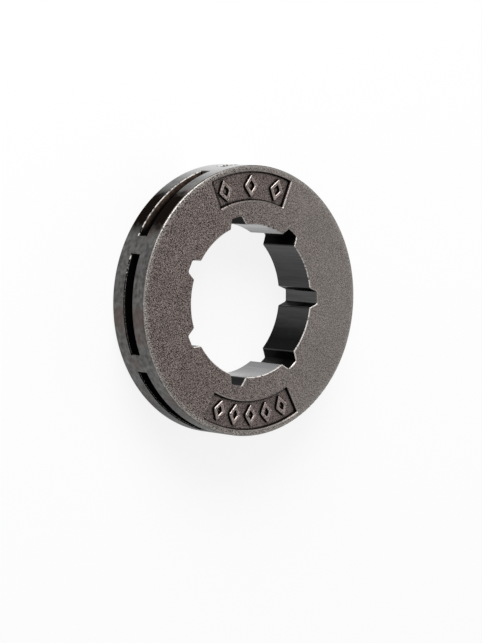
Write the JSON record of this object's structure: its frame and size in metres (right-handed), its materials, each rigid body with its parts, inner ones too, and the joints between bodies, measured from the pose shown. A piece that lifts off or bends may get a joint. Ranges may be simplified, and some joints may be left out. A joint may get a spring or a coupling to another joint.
{
  "type": "chainsaw rim sprocket",
  "caption": "Flat steel ring with a splined bore, drive-link pockets sunk in its ground rim and two marking panels; it floats on a chainsaw's clutch drum and drives the chain.",
  "frame": {"origin": "On the bore's axis, in the plane of the plain rear face, on which the ring lies", "axes": "+Z along the bore's axis, out of the front face that holds the marking panels; +X through the middle of one spline groove; +Y through the middle of the shorter marking panel"},
  "size_m": [0.0372, 0.0372, 0.007],
  "materials": {
    "steel": "matte"
  },
  "bodies": {
    "root": {"rim_sprocket": "steel"}
  },
  "joints": []
}
